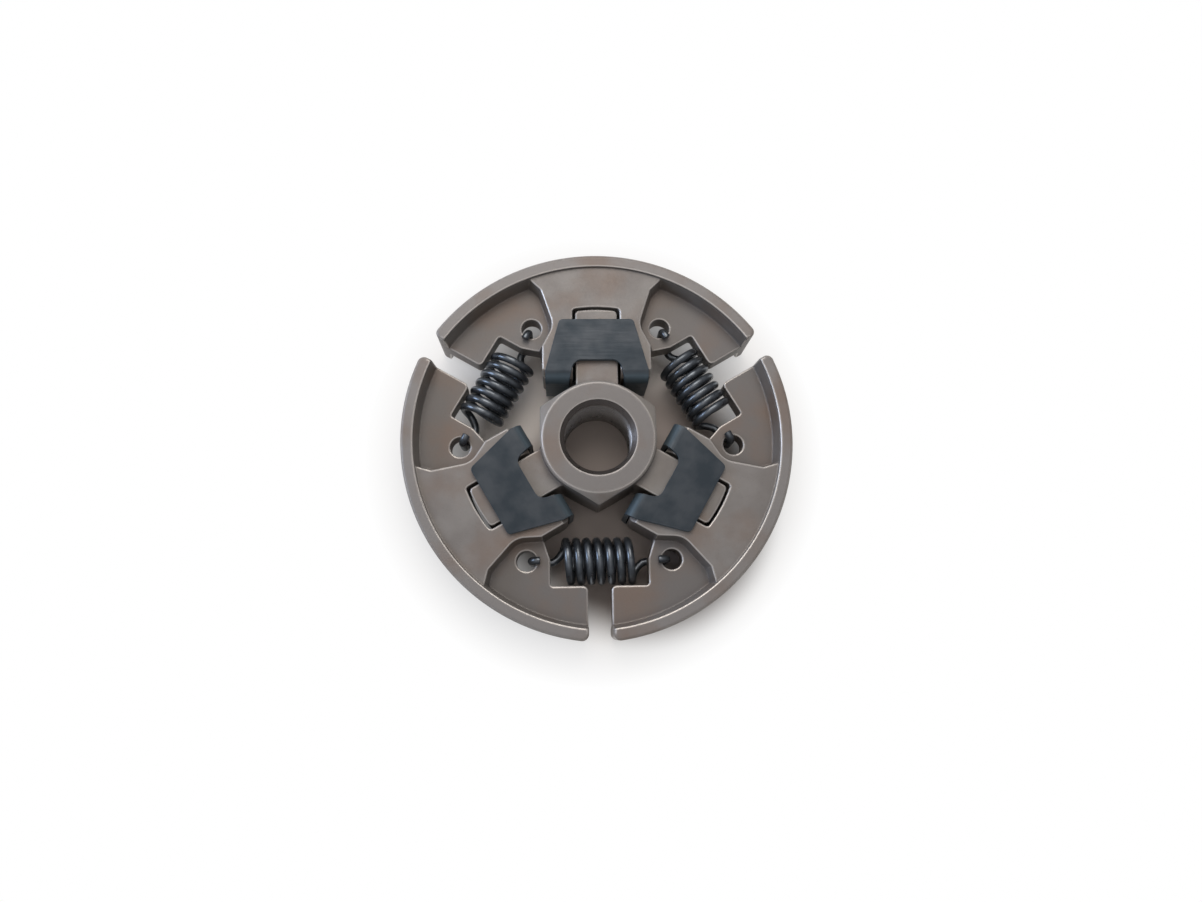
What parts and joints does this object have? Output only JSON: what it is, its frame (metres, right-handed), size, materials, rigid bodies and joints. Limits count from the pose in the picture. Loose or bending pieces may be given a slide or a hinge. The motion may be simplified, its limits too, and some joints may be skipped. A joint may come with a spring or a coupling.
{
  "type": "chainsaw clutch",
  "caption": "Centrifugal chainsaw clutch: a threaded hexagon hub with radial arms carries sliding friction shoes, held by folded retainers and drawn in by tension springs.",
  "frame": {"origin": "on the crankshaft's axis, at the hub's back face", "axes": "+Z along the axis, out of the hexagon side; +Y along the first arm"},
  "size_m": [0.0644, 0.0644, 0.0128],
  "materials": {
    "sintered_steel": "pressed and sintered, satin",
    "blued_sheet": "blued, satin",
    "spring_wire": "oil-blackened, glossy"
  },
  "bodies": {
    "carrier": {"carrier": "sintered_steel", "spring_1": "spring_wire", "spring_2": "spring_wire", "spring_3": "spring_wire"},
    "shoe_1": {"shoe_1": "sintered_steel", "retainer_1": "blued_sheet"},
    "shoe_2": {"shoe_2": "sintered_steel", "retainer_2": "blued_sheet"},
    "shoe_3": {"shoe_3": "sintered_steel", "retainer_3": "blued_sheet"}
  },
  "joints": [
    {"name": "shoe_1_slide", "type": "slide", "parent": "carrier", "child": "shoe_1", "axis": [0, 1, 0], "range_m": [0, 0.0014], "stiffness_N_per_m": 20000, "deforming": ["spring_1", "spring_3"]},
    {"name": "shoe_2_slide", "type": "slide", "parent": "carrier", "child": "shoe_2", "axis": [-0.866, -0.5, 0], "range_m": [0, 0.0014], "stiffness_N_per_m": 20000, "deforming": ["spring_1", "spring_2"]},
    {"name": "shoe_3_slide", "type": "slide", "parent": "carrier", "child": "shoe_3", "axis": [0.866, -0.5, 0], "range_m": [0, 0.0014], "stiffness_N_per_m": 20000, "deforming": ["spring_2", "spring_3"]}
  ]
}
